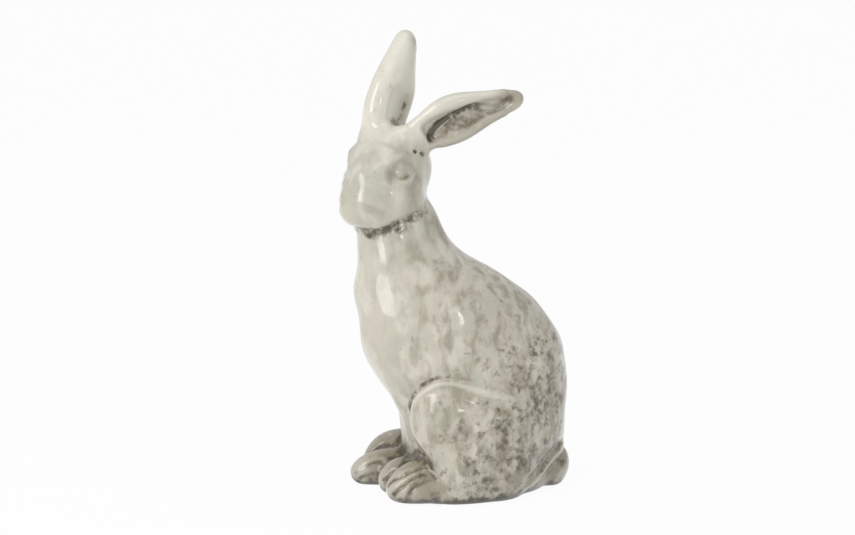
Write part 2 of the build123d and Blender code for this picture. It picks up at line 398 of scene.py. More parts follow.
# %% Shape the thighs
RIDGE = (
    (39.5, -23.0, 30.0),
    (36.5, -26.0, 36.0),
    (30.0, -29.0, 46.0),
    (29.5, -31.0, 58.0),
    (35.0, -27.5, 68.0),
    (39.0, -20.5, 74.5),
    (41.5, -13.5, 77.0),
    (43.0, -4.0, 75.5),
    (44.5, 8.0, 72.0),
    (44.0, 20.0, 68.5),
    (43.0, 28.0, 66.5),
)
UNDER_RIDGE = (
    (45.0, -15.0, 69.0),
    (46.0, -4.0, 67.5),
    (46.0, 8.0, 64.0),
    (45.0, 20.0, 61.0),
    (44.0, 27.0, 60.0),
)
GROOVE_OVER_RIDGE = 6.5  # mm above the ridge's crest


def on_side(points, side):
    """The same points on the left side, 1, or the right side, -1."""
    return [(side * x, y, z) for x, y, z in points]


for side in (1, -1):
    lay_roll(
        on_side(RIDGE, side),
        radius=(2.2, 2.6, 2.8, 2.8, 3.0, 3.2, 3.0),
        height=(0.8, 1.6, 2.1, 2.3, 2.2, 2.0, 0.9),
        soft=2.0,
    )
    above = [(x, y, z + GROOVE_OVER_RIDGE) for x, y, z in RIDGE[4:]]
    press_groove(on_side(above, side), radius=2.0, depth=(0.1, 0.25, 0.25, 0.2, 0.1), soft=2.4)
    press_groove(on_side(UNDER_RIDGE, side), radius=3.4, depth=(0.1, 0.8, 1.2, 1.2, 0.3), soft=3.5)
print("two thigh ridges")

# %% [markdown]
# ## Toes
#
# The toes are no separate pieces. A stick is drawn backwards from the table, a
# few times side by side, and leaves the toes standing between the grooves. The
# points are for the left hind foot and the left paw. The right ones stand
# further ahead, and the right foot is a little taller.

# %% Draw the toes
FOOT_GROOVES = (
    ((32, -48, 11), (35, -44, 16), (37, -39, 19), (37, -33, 22), (37, -26, 24)),
    ((37, -45, 7), (40, -42, 11), (41, -38, 14), (41, -32, 18), (41, -25, 20)),
    ((39, -38, 2), (42, -36, 8), (43, -34, 12), (43, -30, 15), (43, -24, 17)),
    ((25, -47, 9), (23, -43, 14), (22, -37, 18), (22, -31, 20)),
)
PAW_GROOVES = (
    ((5, -48, 9), (3, -43, 13), (2, -38, 15), (2, -32, 16)),
    ((5, -47, 3), (3, -44, 7), (2, -40, 9), (1, -36, 10)),
    ((15, -48, 9), (17, -43, 13), (18, -38, 15), (18, -32, 16)),
)
FEET = (  # the grooves, the stick in mm, and how far ahead and how much taller the right one is
    (FOOT_GROOVES, 1.3, 7.5, 1.12),
    (PAW_GROOVES, 1.1, 15.0, 1.0),
)


def toe_grooves():
    """Every groove on all four feet, with the size of the stick that draws it."""
    for grooves, stick, ahead, taller in FEET:
        for groove in grooves:
            yield groove, stick
            yield [(-x, y - ahead, taller * z) for x, y, z in groove], stick


for groove, stick in toe_grooves():
    press_groove(groove, radius=(1.1 * stick, stick, 0.8 * stick), depth=(stick, stick, 0.1), soft=1.6)
print(len(list(toe_grooves())), "grooves on four feet")

# %% [markdown]
# ## Places on the head
#
# The head is turned to the rabbit's left, so its details are easier to give in
# the head's own directions: outward, forward and up, from its middle. The two
# sides are mirror images.

# %% Find places on the head
HEAD_MIDDLE = np.array((0.0, -44.0, 195.5))
HEAD_TURN = math.radians(40.0)
HEAD_LEFT = np.array((math.cos(HEAD_TURN), math.sin(HEAD_TURN), 0.0))
HEAD_FORWARD = np.array((math.sin(HEAD_TURN), -math.cos(HEAD_TURN), 0.0))


def on_head(points, side):
    """Turn points of (outward, forward, up) in mm into places on one side of the head."""
    places = []
    for out, ahead, up in points:
        places.append(HEAD_MIDDLE + side * out * HEAD_LEFT + ahead * HEAD_FORWARD + (0, 0, up))
    return places


print("20 mm before the head's middle:", on_head([(0, 20, 0)], 1)[0].round(1).tolist())

# %% [markdown]
# ## Nose and cheeks
#
# The bridge of the nose, its sides, the cheek and the muzzle are rolls that are
# blended in widely. The brow is rubbed even, over a smaller place on the right,
# and a soft groove sets off the back of the cheek. The bridge is laid once, and
# the rest waits in a function until the whole face is described.

# %% Shape the nose and cheeks
BRIDGE = ((-1, 21, 15), (0, 25, 9), (1.5, 28, 0), (2.5, 30.5, -8))
BROW = ((9, 17, 20), (15, 12, 22), (17, 4, 23), (20, -3, 19))
BROW_RUB = {1: 12, -1: 6}  # mm on the left and on the right
CHEEK = ((28, 8, -8), (28, -4, -8))
MUZZLE = ((13, 33, -6), (17, 31, -14))
NOSE_SIDE = ((2, 22, 14), (5, 26, 6), (6.5, 28.6, -2), (8.5, 29.6, -9.5))
CHEEK_BACK = ((25, -2.5, 8.5), (25.4, -1.2, 4.9), (27, 4, -0.8), (27.3, 7.2, -4.7))


def shape_cheek(side):
    """Brow, cheek, muzzle and nose on one side of the head."""
    rub(on_head(BROW, side), radius=BROW_RUB[side], size=4.5)
    lay_roll(on_head(CHEEK, side), radius=11, height=0.8, soft=8)
    lay_roll(on_head(MUZZLE, side), radius=9, height=0.8, soft=8)
    lay_roll(on_head(NOSE_SIDE, side), radius=7, height=(0.1, 1.4, 1.5, 0.5), soft=6)
    press_groove(on_head(CHEEK_BACK, side), radius=5, depth=(0.3, 1.0, 0.9, 0.2), soft=5)


lay_roll(on_head(BRIDGE, 1), radius=6, height=(0.3, 1.2, 1.2, 0.3), soft=5)
print("bridge of the nose laid on")

# %% [markdown]
# ## The eyes
#
# The eye is a low almond between two soft lids. The deep corner before it is
# pressed first, and the place between that corner and the nose is rubbed even.
# Behind the eye are two pinholes, such as escaping air leaves in the kiln.

# %% Shape the eyes
EYE_CORNER = ((20.1, 12.5, 18), (20.6, 15.2, 14.2), (20, 16, 9.4), (20.2, 16, 5.5))
BEFORE_EYE = ((12, 17, 19), (13.5, 19.5, 13), (14, 21.5, 7))
UPPER_LID = ((20, 14, 14), (20.4, 10, 18.5), (19.5, 4, 19), (21.5, -1.5, 15.5))
OVER_EYE = ((20.9, 14.2, 11), (21.8, 11, 15), (21.9, 6, 16), (22.3, 1, 13.8), (22.8, -0.5, 12.5))
UNDER_EYE = ((21.5, 13.5, 7.4), (23.3, 11, 6.1), (24.1, 7.3, 7), (23.9, 3.5, 9.6), (23, -1.2, 13.2))
LOWER_LID = ((23.1, 12.6, 3.8), (24.9, 5.6, 5.6), (24.3, -1.6, 9.6))
PINHOLES = (((19.4, -4.5, 20.5), (19.8, -4.9, 19.8)), ((20.1, -9.3, 18.8), (20.2, -11.3, 17.6)))


def shape_eye(side):
    """The eye with its lids and corner, and the pinholes behind it, on one side of the head."""
    press_groove(on_head(EYE_CORNER, side), radius=4.5, depth=(0.4, 2.0, 2.2, 0.8), soft=6)
    rub(on_head(BEFORE_EYE, side), radius=8, size=4)
    lay_roll(on_head(UPPER_LID, side), radius=2, height=(0.2, 0.9, 0.9, 0.2), soft=2.4)
    press_groove(on_head(OVER_EYE, side), radius=1.4, depth=(0.4, 0.7, 0.6, 0.6, 0.4), soft=1.8)
    press_groove(on_head(UNDER_EYE, side), radius=1.4, depth=(0.4, 0.9, 0.8, 0.7, 0.4), soft=1.8)
    lay_roll(on_head(LOWER_LID, side), radius=2, height=(0.3, 1.1, 0.4), soft=2.4)
    for hole in PINHOLES:
        press_groove(on_head(hole, side), radius=0.9, depth=1.4, soft=0.8)


print("pinholes behind each eye:", len(PINHOLES))

# %% [markdown]
# ## Mouth and jaw
#
# The mouth is a shallow groove, and a deeper one under the jaw divides the head
# from the neck. Then each side of the face is shaped in one go.

# %% Shape the face
MOUTH = (
    (5, 31, -9),
    (8, 30, -10),
    (11.3, 28.4, -11.3),
    (14.3, 26.2, -13),
    (16.6, 23.5, -15.6),
    (18, 20.6, -17.6),
)
JAW = ((2, 23, -25), (9, 20, -27), (16, 15.5, -24.5), (21, 10.4, -21), (25, 2, -18), (26.6, -6.2, -15.3))

for side in (1, -1):
    shape_cheek(side)
    shape_eye(side)
    press_groove(on_head(MOUTH, side), radius=1.8, depth=(0.1, 0.4, 0.8, 0.9, 0.5, 0.1), soft=3)
    press_groove(on_head(JAW, side), radius=2.4, depth=(0.8, 1.4, 1.4, 1.3, 1.0, 0.4), soft=3.0)
print("face shaped on both sides")

# %% [markdown]
# ## The ears
#
# The laid ear is an open trough with a thick rolled rim. A stick drawn close
# under the upper rim gives the deep line where dark glaze will gather, and the
# rim itself gets a thin roll, as does the lip below. The upright ear only needs
# a slot near its tip.

# %% Shape the ears
LAID_HOLLOW = (
    (7.0, -18.0, 222.0),
    (7.0, -14.4, 228.5),
    (9.3, -7.4, 235.4),
    (12.0, 0.2, 241.0),
    (13.0, 6.7, 243.0),
    (12.5, 13.0, 241.4),
    (13.4, 21.5, 240.5),
    (14.6, 27.5, 244.5),
    (17.5, 31.0, 249.5),
)
LAID_RIM = (
    (9.5, -28.0, 234.0),
    (12.0, -17.0, 242.5),
    (13.7, -9.0, 247.0),
    (16.0, 3.0, 249.0),
    (17.0, 14.0, 249.5),
    (18.0, 25.0, 252.0),
)
LAID_LIP = ((9.5, -10.0, 220.5), (10.5, 2.0, 222.5), (13.0, 14.0, 229.5), (16.0, 25.5, 238.5))
UPRIGHT_SLOT = ((-15.5, -26.0, 264.0), (-15.5, -25.0, 272.0), (-14.0, -25.5, 280.0))

press_groove(
    LAID_HOLLOW,
    radius=(1.6, 2.0, 2.4, 2.4, 2.2, 1.8, 1.4),
    depth=(1.0, 1.6, 2.0, 2.0, 1.8, 1.5, 0.8),
    soft=2.0,
)
lay_roll(LAID_RIM, radius=(3.0, 3.2, 3.2, 2.8, 2.4, 2.0), height=(0.4, 0.9, 1.0, 0.9, 0.8, 0.4), soft=4.0)
lay_roll(LAID_LIP, radius=2.2, height=(0.3, 0.8, 0.8, 0.3), soft=3.0)
press_groove(UPRIGHT_SLOT, radius=1.3, depth=(0.3, 1.3, 0.8), soft=1.6)
print("ears shaped")

# %% [markdown]
# ## The tail
#
# The tail is pressed flat against the rump like a leaf, and its edge runs
# forward along the foot of the body on both sides. A roll of clay makes the
# edge, and a groove above it sets it off from the rump.

# %% Shape the tail
TAIL_EDGE = (
    (10.0, 66.5, 26.0),
    (17.0, 63.0, 24.5),
    (24.0, 57.0, 19.5),
    (29.0, 50.5, 13.5),
    (33.5, 41.5, 8.5),
    (36.0, 35.0, 5.0),
)
GROOVE_OVER_EDGE = 5.5  # mm above the tail's edge

for side in (1, -1):
    edge = on_side(TAIL_EDGE, side)
    lay_roll(edge, radius=(2.5, 3.5, 3.5, 3.0, 2.4, 1.8), height=(0.8, 2.2, 2.2, 1.8, 1.2, 0.3), soft=2.5)
    above = [(x, y, z + GROOVE_OVER_EDGE) for x, y, z in edge]
    press_groove(above, radius=2.0, depth=(0.3, 1.0, 1.0, 0.9, 0.6, 0.2), soft=2.6)
print("tail shaped")

# %% [markdown]
# ## A hand-made surface
#
# Wiped clay is never quite even. A handful of long, low waves that run in
# different directions add up to a surface that looks uneven by chance. They
# show mainly in the reflections, which wander instead of running straight.
# The waves stop above the table, so that the foot stays flat.

# %% Add the waves
WAVES = 14
WAVE_LENGTHS = (22.0, 60.0)  # mm
WAVE_HEIGHT = 0.21  # mm for each wave

chance = np.random.default_rng(7)
unevenness = np.zeros(grid_shape, np.float32)
for _ in range(WAVES):
    heading = chance.normal(size=3)
    heading *= 2 * math.pi / chance.uniform(*WAVE_LENGTHS) / np.linalg.norm(heading)
    phase = chance.uniform(0, 2 * math.pi)
    wave = AXIS_X * heading[0] + AXIS_Y * heading[1] + AXIS_Z * heading[2] + phase
    unevenness += np.sin(wave).astype(np.float32)
clay += WAVE_HEIGHT * unevenness * ease(2.0, 12.0, AXIS_Z)
print("waves up to", round(float(np.abs(unevenness).max() * WAVE_HEIGHT), 2), "mm")

# %% [markdown]
# ## Opening the hollow
#
# The outside is finished, so the hollow is opened again. Its air comes back as
# it was cast. In the inner half of the wall the shallower of both depths holds,
# which puts the inner skin exactly where it was.

# %% Open the hollow
filled = clay
clay = np.where(near_hollow, np.maximum(filled, as_cast), filled)
clay = np.where(walled_in, as_cast, clay)
print("opened, clay left:", round(float((clay < 0).sum()) * CELL**3 / 1000), "ml")

# %% [markdown]
# ## From clay back to pieces
#
# The figure is one skin now, but it is still made of eleven castings, and each
# stays a piece of its own. Every grid point inside the clay belongs to the
# casting that is nearest to it. A vertex goes into each grid cell whose
# corners don't all belong to the same casting or to the air, and a face goes
# wherever two neighbouring grid points differ. Each casting then keeps the
# faces round its own points, so it is closed, and two castings share the exact
# vertices of their seam.

# %% Mark the cells that get a vertex
part = np.where(clay < 0, owner + 1, 0).astype(np.uint8)
cell_shape = tuple(n - 1 for n in grid_shape)


def corner_of(values, step):
    """One corner of every cell, as a view of the grid's values."""
    return values[tuple(slice(s, s + n) for s, n in zip(step, cell_shape))]


mixed = np.zeros(cell_shape, bool)
for step in np.ndindex(2, 2, 2):
    mixed |= corner_of(part, step) != corner_of(part, (0, 0, 0))
cells = np.argwhere(mixed)
vertex_of = np.full(cell_shape, -1, np.int32)
vertex_of[mixed] = np.arange(len(cells))
print(len(cells), "cells of", mixed.size, "get a vertex")

# %% [markdown]
# A vertex goes to the average of the places where its cell's edges cross the
# skin. Inside the clay, where two castings touch, the seam between them takes
# the skin's part: there both castings are equally near. Vertices on the skin
# are then slid exactly onto it, and none may lie below the table.

# %% Place the vertices
stacked = np.stack([castings[node] for node in NODES])
skin_sum, skin_count = np.zeros((len(cells), 3)), np.zeros(len(cells))
seam_sum, seam_count = np.zeros((len(cells), 3)), np.zeros(len(cells))
for axis in range(3):
    for step in np.ndindex(2, 2, 2):
        if step[axis]:
            continue
        start = cells + step
        end = start + np.eye(3, dtype=int)[axis]
        start_at, end_at = tuple(start.T), tuple(end.T)
        one, other = part[start_at], part[end_at]
        skin = (one == 0) != (other == 0)
        seam = (one != other) & ~skin
        low, high = clay[start_at], clay[end_at]
        share = np.where(skin, low / np.where(skin, low - high, 1), 0.5)
        rows = np.nonzero(seam)[0]
        mine, yours = one[rows] - 1, other[rows] - 1
        before = stacked[(mine, *start[rows].T)] - stacked[(yours, *start[rows].T)]
        after = stacked[(mine, *end[rows].T)] - stacked[(yours, *end[rows].T)]
        share[rows] = np.clip(before / np.where(before - after == 0, 1, before - after), 0.05, 0.95)
        place = start + share[:, None] * np.eye(3)[axis]
        skin_sum += place * skin[:, None]
        skin_count += skin
        seam_sum += place * seam[:, None]
        seam_count += seam
on_the_skin = skin_count > 0
vertices = np.where(
    on_the_skin[:, None],
    skin_sum / np.maximum(skin_count, 1)[:, None],
    seam_sum / np.maximum(seam_count, 1)[:, None],
)
vertices = (vertices + first_cell) * CELL
vertices[on_the_skin] = onto_skin(vertices[on_the_skin], steps=2, stride=0.5 * CELL)
vertices[:, 2] = np.maximum(vertices[:, 2], 0.0)
print(len(vertices), "vertices,", int(on_the_skin.sum()), "of them on the skin")

# %% [markdown]
# The faces come next. An edge between two grid points that differ is crossed
# by one face, whose four corners are the vertices of the four cells round that
# edge. The order of the corners makes the face look away from its own casting.

# %% Find the faces
faces_of = {number: [] for number in range(1, len(NODES) + 1)}
for axis in range(3):
    side_a, side_b = (axis + 1) % 3, (axis + 2) % 3
    lower = [slice(1, n - 1) for n in grid_shape]
    lower[axis] = slice(0, grid_shape[axis] - 1)
    upper = list(lower)
    upper[axis] = slice(1, grid_shape[axis])
    one, other = part[tuple(lower)], part[tuple(upper)]
    edges = np.argwhere(one != other) + [0 if i == axis else 1 for i in range(3)]
    corners = []
    for a, b in ((-1, -1), (0, -1), (0, 0), (-1, 0)):
        shift = np.zeros(3, int)
        shift[side_a], shift[side_b] = a, b
        corners.append(vertex_of[tuple((edges + shift).T)])
    quads = np.stack(corners, axis=1)
    one, other = one[one != other], other[part[tuple(lower)] != other]
    for number in faces_of:
        faces_of[number] += [quads[one == number], quads[other == number][:, ::-1]]
faces_of = {number: np.concatenate(quads) for number, quads in faces_of.items()}
print({NODES[number - 1]: len(quads) for number, quads in faces_of.items()})

# %% [markdown]
# ## What the glaze needs to know
#
# Runny glaze is thin on raised edges and thick in hollows. A blurred field
# tells the two apart: next to a hollow there is more clay than on a flat
# place, so the blurred value falls below the true one, and on an edge it rises
# above it. This and every later measure is one number per vertex, which the
# material reads by name.

# %% Measure hollows and edges
FINE, BROAD = 1.6, 4.5  # mm, the two sizes of hollow that matter

fine_hollow = -read_at(sponged(filled, FINE), vertices) / FINE
broad_hollow = -read_at(sponged(filled, BROAD), vertices) / BROAD
hollow = fine_hollow + broad_hollow
print("hollows:", np.percentile(hollow[on_the_skin], (5, 25, 50, 75, 95, 99)).round(2).tolist())

# %% [markdown]
# The hollows and edges become layers of glaze from 0 to 1. Pooling is broken
# dark glaze in hollows, which the pale upright ear and the eyes keep little
# of. Thinning bares the edges. The wash is an even brown veil that starts on
# the feet, and later also paints shade into creases of the face and the upright
# ear. The pale share near the top of the figure is partly paler glaze and partly
# painted light on the upright ear. Places such as the feet fade in between two
# heights and two depths.

# %% Start the layers
POOLS = (0.10, 0.60)  # how hollow a place is where glaze begins to pool, and where it pools fully
BARES = (0.24, 0.62)  # how raised an edge is where it begins to show, and where it is bare
EYE_MIDDLE = (22, 7, 11)
EYE_RIM = (20.0, 12.0)  # mm from the eye's middle

_, depths, heights = vertices.T


def region(height, depth):
    """How far each vertex lies in a place that fades in between two heights and two depths in mm."""
    return ease(*height, heights) * ease(*depth, depths)


feet = region(height=(34.0, 20.0), depth=(-14.0, -26.0))
# near the top of the head and on the upright ear the glaze is painted paler: partly paler glaze, partly
# painted light
pale_and_painted_light_share = region(height=(214.0, 240.0), depth=(-8.0, -22.0))
pooling = ease(*POOLS, hollow + 0.30 * feet) * (1 - 0.8 * pale_and_painted_light_share)
thinning = ease(*BARES, -hollow)
wash_and_painted_shade = 0.4 * feet
for side in (1, -1):
    eye_gap = np.linalg.norm(vertices - on_head([EYE_MIDDLE], side)[0], axis=1)
    pooling *= 1 - 0.85 * ease(*EYE_RIM, eye_gap)
print("pooling mean", round(float(pooling[on_the_skin].mean()), 3))

# %% [markdown]
# Some places are darker than their shape alone explains: dark glaze gathers in
# the crease under the jaw, the trough of the laid ear and the clefts between the
# toes, and shade is painted into the corner of the eye and the creases round the
# eye, the cheek and the mouth. A dab adds pooling or wash near a path, and fades
# out with distance from it.

# %% Dab dark glaze and painted shade on the face
def dab(points, width, amount, layer=pooling):
    """Add glaze or painted shade within this width in mm of a path, by one amount or one per given point.
    """
    path = smooth_path(points)
    for spot, share in zip(path, along(amount, path)):
        gap = np.linalg.norm(vertices - spot, axis=1)
        np.maximum(layer, share * (1 - ease(0.2 * width, width, gap)), out=layer)


JAW_LOW = (
    (12.2, -59.1, 167.5),
    (15.8, -54.6, 166.2),
    (19.2, -50.2, 166.7),
    (21.8, -44.4, 168.8),
    (23.1, -38.5, 170.1),
    (22.8, -32.3, 171.7),
)
EYE_LINE = ((22.9, 11.6, 6.1), (24, 9, 5.9), (24.3, 5.8, 7.4))

for side in (1, -1):
    dab(on_head(JAW, side), width=5.5, amount=(0.5, 0.85, 0.7, 0.45, 0.7, 0.4))
    # painted shade: the wash darkens the corner before the eye, the line under it, the lid over it, the
    # groove behind the cheek and the mouth
    dab(on_head(EYE_CORNER, side), width=6.0, amount=(0.3, 0.7, 0.95, 0.6), layer=wash_and_painted_shade)
    dab(on_head(EYE_LINE, side), width=2.6, amount=(0.8, 1.2, 0.9), layer=wash_and_painted_shade)
    dab(on_head(EYE_LINE, side), width=2.0, amount=(0.3, 0.55, 0.4))
    dab(on_head(OVER_EYE[2:], side), width=3.0, amount=(0.3, 0.5, 0.9), layer=wash_and_painted_shade)
    dab(on_head(CHEEK_BACK, side), width=6.5, amount=(0.4, 0.65, 0.55, 0.2), layer=wash_and_painted_shade)
    dab(on_head(MOUTH, side), width=5.0, amount=(0.1, 0.25, 0.35, 0.4, 0.4, 0.2), layer=wash_and_painted_shade)
    for hole in PINHOLES:
        dab(on_head(hole, side), width=1.6, amount=1.0)
dab(JAW_LOW, width=5.0, amount=(0.6, 1.0, 0.55, 0.25, 0.6, 0.3))
print("pooling mean with the face", round(float(pooling[on_the_skin].mean()), 3))

# %% [markdown]
# The toes and the ears follow. The laid ear's trough is dark all over, and most
# of all in its groove and towards the tip. The upright ear has one dark crease,
# with painted shade spread round it in its hollow and in the slot near its tip.

# %% Dab dark glaze and painted shade on the toes and ears
LAID_TROUGH = (
    (7.4, -11.4, 226.0),
    (8.9, -2.4, 230.9),
    (10.5, 6.6, 234.0),
    (12.6, 15.5, 235.3),
    (14.7, 24.4, 238.4),
)
UPRIGHT_CREASE = (
    (-12.4, -29.9, 241.8),
    (-12.1, -31.9, 236.3),
    (-11.6, -33.8, 231.4),
    (-11.5, -35.1, 227.8),
)

for groove, _ in toe_grooves():
    dab(groove, width=3.0, amount=0.75)
dab(LAID_HOLLOW, width=5.0, amount=1.0)
dab(LAID_LIP, width=11.0, amount=0.65, layer=wash_and_painted_shade)
dab(LAID_HOLLOW[-3:], width=13.0, amount=(0.4, 0.8, 0.9), layer=wash_and_painted_shade)
dab(LAID_TROUGH, width=12.0, amount=0.48)
dab(LAID_TROUGH, width=10.0, amount=0.6, layer=wash_and_painted_shade)
dab(LAID_HOLLOW[-3:], width=11.0, amount=(0.4, 0.55, 0.6))
dab(UPRIGHT_CREASE, width=2.4, amount=0.60)
# painted shade: the wash spreads soft shade round the upright ear's crease, in its hollow and into its
# slot
dab(UPRIGHT_CREASE, width=10.0, amount=(0.45, 0.35, 0.35, 0.4), layer=wash_and_painted_shade)
dab(UPRIGHT_SLOT, width=5.0, amount=(0.2, 0.5, 0.6), layer=wash_and_painted_shade)
print("pooling mean with all dabs", round(float(pooling[on_the_skin].mean()), 3))

# %% [markdown]
# The flecks are thickest on the lower back, the thighs, the tail and the feet,
# and almost absent from the face and the chest. Soft smudges cover most of the
# body. The shade marks what is close to the table, which is darker.

# %% Spread flecks and smudges
LOW = (60.0, 0.0)  # mm above the table

low_and_back = region(height=(125.0, 45.0), depth=(-42.0, 5.0))
rump = region(height=(195.0, 130.0), depth=(0.0, 50.0))
tail = region(height=(34.0, 22.0), depth=(40.0, 56.0))
body = region(height=(225.0, 165.0), depth=(-58.0, -5.0))
shade = np.clip(feet + tail + 0.5 * ease(*LOW, heights), 0, 1)
fleck_share = np.clip(0.75 * low_and_back + 0.65 * rump + 0.5 * shade, 0, 1)
smudge_share = np.clip(0.2 + body + shade, 0, 1)
print("flecks mean", round(float(fleck_share[on_the_skin].mean()), 3))

# %% [markdown]
# ## The pieces as Blender meshes
#
# Each casting's vertices and faces go into a mesh of its own. The shading
# normals come from the whole field's slope instead of from the mesh, so that
# light runs over a wiped seam without a break. Each piece stands for one
# casting of the frame and moves with it.

# %% Build the pieces
slope = slope_at(clay, vertices)
normals = slope / np.maximum(np.linalg.norm(slope, axis=1, keepdims=True), 1e-6)

MEASURES = (
    ("pooling", pooling),
    ("thinning", thinning),
    ("flecks", fleck_share),
    ("smudges", smudge_share),
    ("shade", shade),
    ("wash_and_painted_shade", wash_and_painted_shade),
    ("paleness_and_painted_light", pale_and_painted_light_share),
)


def build_piece(node, quads):
    """One casting as a mesh object, with its measures of glaze, painted shade and painted light."""
    used, corners = np.unique(quads, return_inverse=True)
    mesh = bpy.data.meshes.new(node + "_skin")
    mesh.from_pydata(vertices[used] / MM, [], corners.reshape(-1, 4).tolist())
    mesh.shade_smooth()
    for name, values in MEASURES:
        layer = mesh.attributes.new(name, "FLOAT", "POINT")
        layer.data.foreach_set("value", values[used].astype(np.float32))
    own = np.empty(len(used) * 3, np.float32)
    mesh.vertex_normals.foreach_get("vector", own)
    shown = np.where(on_the_skin[used][:, None], normals[used], own.reshape(-1, 3))
    mesh.normals_split_custom_set_from_vertices(shown)
    piece = bpy.data.objects.new(node + "_skin", mesh)
    bpy.context.collection.objects.link(piece)
    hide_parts(node)
    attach(piece, "root")
    return piece


pieces = [build_piece(node, faces_of[i + 1]) for i, node in enumerate(NODES)]
print(len(pieces), "pieces,", sum(len(p.data.polygons) for p in pieces), "faces")

# %% [markdown]
# ## The glaze
#
# The glaze is one recipe over the whole figure: a pale warm grey that turns
# creamy where it is thin, brown where it pools, and carries soft grey-brown
# flecks a few millimetres wide. All the patterns are placed by the piece's own
# coordinates, so they stay put from every side. The gloss is the same
# everywhere and is set on the shader itself. Short functions make the nodes,
# so that the recipe can be read line by line.

# %% Mix the glaze
glaze = bpy.data.materials.new("speckled_glaze")
glaze.use_nodes = True
tree = glaze.node_tree
shader = tree.nodes["Principled BSDF"]
shader.inputs["Roughness"].default_value = 0.16
shader.inputs["IOR"].default_value = 1.5
shader.inputs["Coat Weight"].default_value = 0.60
shader.inputs["Coat Roughness"].default_value = 0.04


def link(source, target):
    """Join an output socket to an input socket."""
    tree.links.new(source, target)


def measure(name):
    """Read one of the numbers that each vertex carries."""
    node = tree.nodes.new("ShaderNodeAttribute")
    node.attribute_name = name
    return node.outputs["Fac"]


def sums(operation, first, second, third=None):
    """One step of arithmetic on sockets or plain numbers."""
    node = tree.nodes.new("ShaderNodeMath")
    node.operation = operation
    for socket, value in zip(node.inputs, (first, second, third)):
        if isinstance(value, (int, float)):
            socket.default_value = value
        elif value is not None:
            link(value, socket)
    return node.outputs["Value"]


def times(first, second):
    """Two sockets or numbers multiplied."""
    return sums("MULTIPLY", first, second)


def plus(first, second):
    """Two sockets or numbers added."""
    return sums("ADD", first, second)


def soft_step(value, start, end):
    """0 below start, 1 above end. Start and end may be sockets."""
    node = tree.nodes.new("ShaderNodeMapRange")
    node.interpolation_type = "SMOOTHSTEP"
    for name, given in (("Value", value), ("From Min", start), ("From Max", end)):
        if isinstance(given, (int, float)):
            node.inputs[name].default_value = given
        else:
            link(given, node.inputs[name])
    return node.outputs["Result"]


print("gloss set, arithmetic ready")

# %% [markdown]
# Two more functions make the patterns: cloudy noise of a given patch size, and
# a tint that lays one colour over another.

# %% Make noise and tints
MIX_UNDER, MIX_OVER, MIX_RESULT = 6, 7, 2  # the mix node's colour sockets

place = tree.nodes.new("ShaderNodeTexCoord").outputs["Object"]


def noise(size, detail, roughness=0.5, twist=0.0, where=place):
    """Cloudy noise whose patches are about size metres wide."""
    node = tree.nodes.new("ShaderNodeTexNoise")
    link(where, node.inputs["Vector"])
    node.inputs["Scale"].default_value = 1.0 / size
    node.inputs["Detail"].default_value = detail
    node.inputs["Roughness"].default_value = roughness
    node.inputs["Distortion"].default_value = twist
    return node.outputs["Fac"]


def tint(under, over, amount):
    """Lay a colour over another by an amount from 0 to 1."""
    node = tree.nodes.new("ShaderNodeMix")
    node.data_type = "RGBA"
    link(amount, node.inputs["Factor"])
    for socket, colour in ((node.inputs[MIX_UNDER], under), (node.inputs[MIX_OVER], over)):
        if isinstance(colour, tuple):
            socket.default_value = (*colour, 1.0)
        else:
            link(colour, socket)
    return node.outputs[MIX_RESULT]


print("noise and tint ready")

# %% [markdown]
# The colours are laid on in the order in which the glaze builds up. The ground
# changes slowly between warm and cool, with paler patches that run downwards.
# They gather on the upright ear, which is the brightest place: there the pale
# and bright tints are partly paler glaze and partly painted light. Soft smudges
# come next.

# %% Lay the ground
GROUND_WARM = (0.572, 0.532, 0.444)
GROUND_COOL = (0.500, 0.490, 0.400)
PALE_AND_PAINTED_LIGHT = (0.680, 0.652, 0.565)
BRIGHT_GLAZE_AND_PAINTED_LIGHT = (0.830, 0.810, 0.725)
SMUDGE = (0.285, 0.246, 0.172)

stretched = tree.nodes.new("ShaderNodeMapping")
link(place, stretched.inputs["Vector"])
stretched.inputs["Scale"].default_value = (1.0, 1.0, 0.6)
runs = stretched.outputs["Vector"]
paleness_and_painted_light = measure("paleness_and_painted_light")
ground = tint(GROUND_WARM, GROUND_COOL, soft_step(noise(0.030, detail=3.0), 0.40, 0.62))
pale_runs = noise(0.016, detail=3.0, twist=0.4, where=runs)
pale_patches_and_painted_light = plus(pale_runs, times(paleness_and_painted_light, 0.28))
ground = tint(ground, PALE_AND_PAINTED_LIGHT, times(soft_step(pale_patches_and_painted_light, 0.46, 0.66), 0.75))
# painted light: the bright tint on the upright ear stands partly for paler glaze and partly for the light
# it catches
ground = tint(ground, BRIGHT_GLAZE_AND_PAINTED_LIGHT, times(paleness_and_painted_light, 0.45))
smear_runs = noise(0.0085, detail=3.0, roughness=0.55, twist=0.3, where=runs)
smears = plus(smear_runs, times(measure("shade"), 0.26))
smear_amount = times(soft_step(smears, 0.42, 0.68), times(measure("smudges"), 0.72))
colour = tint(ground, SMUDGE, smear_amount)
print("ground of", len(tree.nodes), "nodes")

# %% [markdown]
# Three layers of noise make the flecks: dots for their shape, clusters that
# gather them, and grains that roughen their edges. The more flecks a place has,
# the lower the limit above which the noise shows as a fleck.

# %% Sprinkle the flecks
FLECK = (0.095, 0.074, 0.040)

